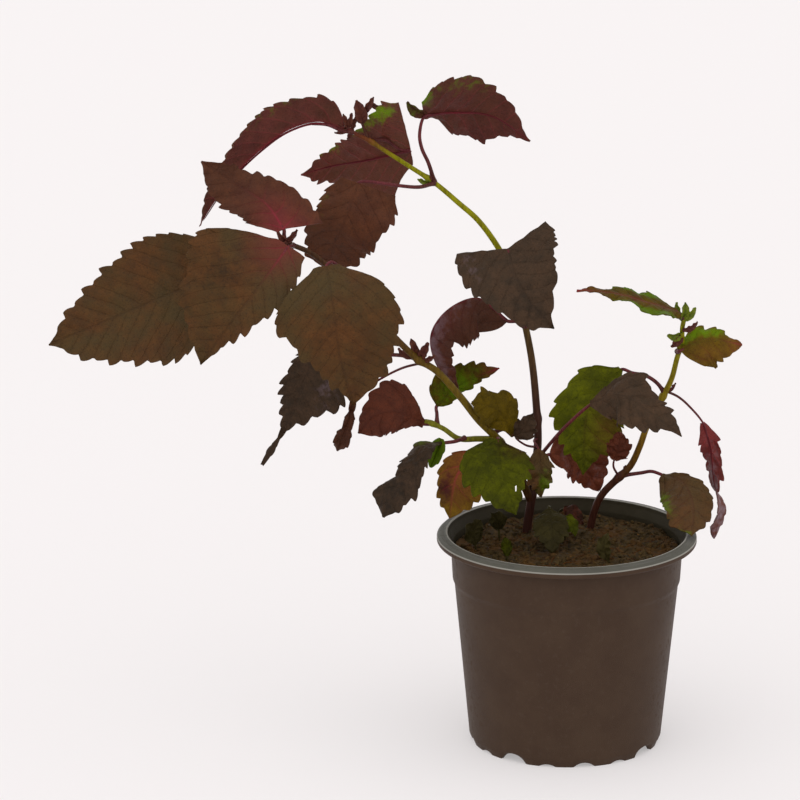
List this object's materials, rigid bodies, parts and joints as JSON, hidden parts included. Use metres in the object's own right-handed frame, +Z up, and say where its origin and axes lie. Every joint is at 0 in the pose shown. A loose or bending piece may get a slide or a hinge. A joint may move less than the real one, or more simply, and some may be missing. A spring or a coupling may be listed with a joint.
{
  "type": "potted purple perilla plant",
  "caption": "Leggy purple-leaved herb plant with toothed hanging leaves, growing off to one side from a thin round nursery pot of dark soil.",
  "frame": {"origin": "middle of the pot's foot, on the surface that the pot stands on", "axes": "+Z up along the pot's axis, +X towards the low right stem, away from the side the plant leans to, -Y towards the front"},
  "size_m": [0.3163, 0.1245, 0.3112],
  "materials": {
    "pot": "thin satin nursery pot plastic, brown outside, grey lip and inside",
    "soil": "damp dark peat with fibres and pale specks",
    "stem_dark": "smooth herb stem, maroon brown low and yellow green high",
    "stem_olive": "smooth herb stem, maroon low, olive orange above",
    "leaf_purple": "thin leaf with a maroon underside",
    "leaf_brown": "thin puckered brown leaf",
    "leaf_grey": "thin matt grey-brown leaf",
    "leaf_red": "thin maroon red leaf",
    "leaf_green": "thin green leaf",
    "leaf_olive": "thin olive leaf"
  },
  "bodies": {
    "root": {"pot": "pot", "soil": "soil", "main_stem": "stem_dark", "right_stem": "stem_olive", "leaf_main_flag": "leaf_grey", "leaf_main_arched": "leaf_purple", "leaf_main_upper_right": "leaf_purple", "leaf_main_upper_front": "leaf_purple", "leaf_main_top_back": "leaf_purple", "leaf_main_top_left": "leaf_purple", "leaf_left_far": "leaf_brown", "leaf_left_front": "leaf_brown", "leaf_left_top": "leaf_purple", "leaf_left_hanging": "leaf_brown", "leaf_left_dark": "leaf_grey", "leaf_left_narrow": "leaf_purple", "leaf_side_red": "leaf_red", "leaf_side_yellow": "leaf_olive", "leaf_crown_drooping": "leaf_grey", "leaf_crown_back": "leaf_olive", "leaf_crown_green": "leaf_green", "leaf_crown_olive": "leaf_olive", "leaf_crown_small": "leaf_grey", "leaf_crown_brown": "leaf_brown", "leaf_right_grey": "leaf_grey", "leaf_right_red": "leaf_red", "leaf_right_green": "leaf_green", "leaf_right_small": "leaf_red", "leaf_right_cupped": "leaf_brown", "leaf_right_twisted": "leaf_red", "leaf_right_top_left": "leaf_olive", "leaf_right_top_right": "leaf_olive", "leaf_low_dark": "leaf_grey", "leaf_low_bright": "leaf_green", "leaf_low_red": "leaf_red", "leaf_low_wall": "leaf_grey", "leaf_low_dull": "leaf_grey", "leaf_low_green": "leaf_green", "leaf_low_olive": "leaf_olive"}
  },
  "joints": []
}
